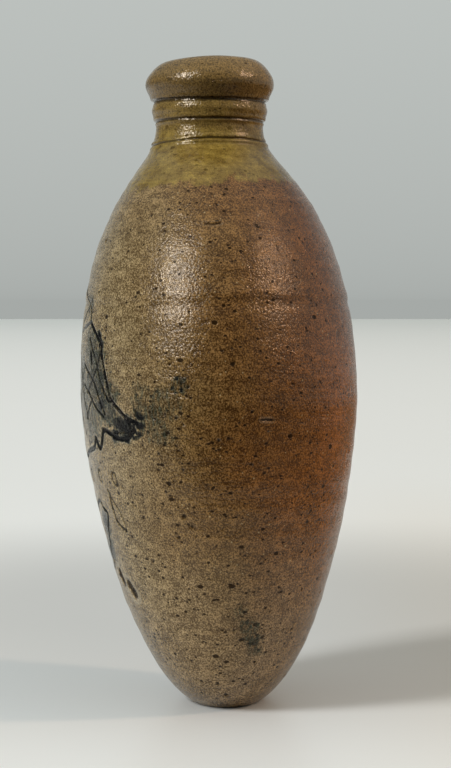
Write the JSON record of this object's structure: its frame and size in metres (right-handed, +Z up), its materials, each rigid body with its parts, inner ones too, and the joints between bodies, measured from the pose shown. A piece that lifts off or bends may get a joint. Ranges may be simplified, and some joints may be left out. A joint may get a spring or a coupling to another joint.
{
  "type": "stoneware flask",
  "caption": "Upright salt-glazed stoneware flask: oval body pressed flat on its broad faces, small oval foot, round ringed neck and thick rolled collar around an open cork mouth.",
  "frame": {"origin": "centre of the flat foot, on the surface that the flask stands on", "axes": "+Z up along the neck, X across the broad faces, -Y out of the decorated broad face, +Y out of the plain one"},
  "size_m": [0.118, 0.0821, 0.19],
  "materials": {
    "salt_glazed_stoneware": "tan-brown salt glaze with an orange-peel surface, dark iron specks and an olive-yellow collar"
  },
  "bodies": {
    "root": {"flask": "salt_glazed_stoneware"}
  },
  "joints": []
}
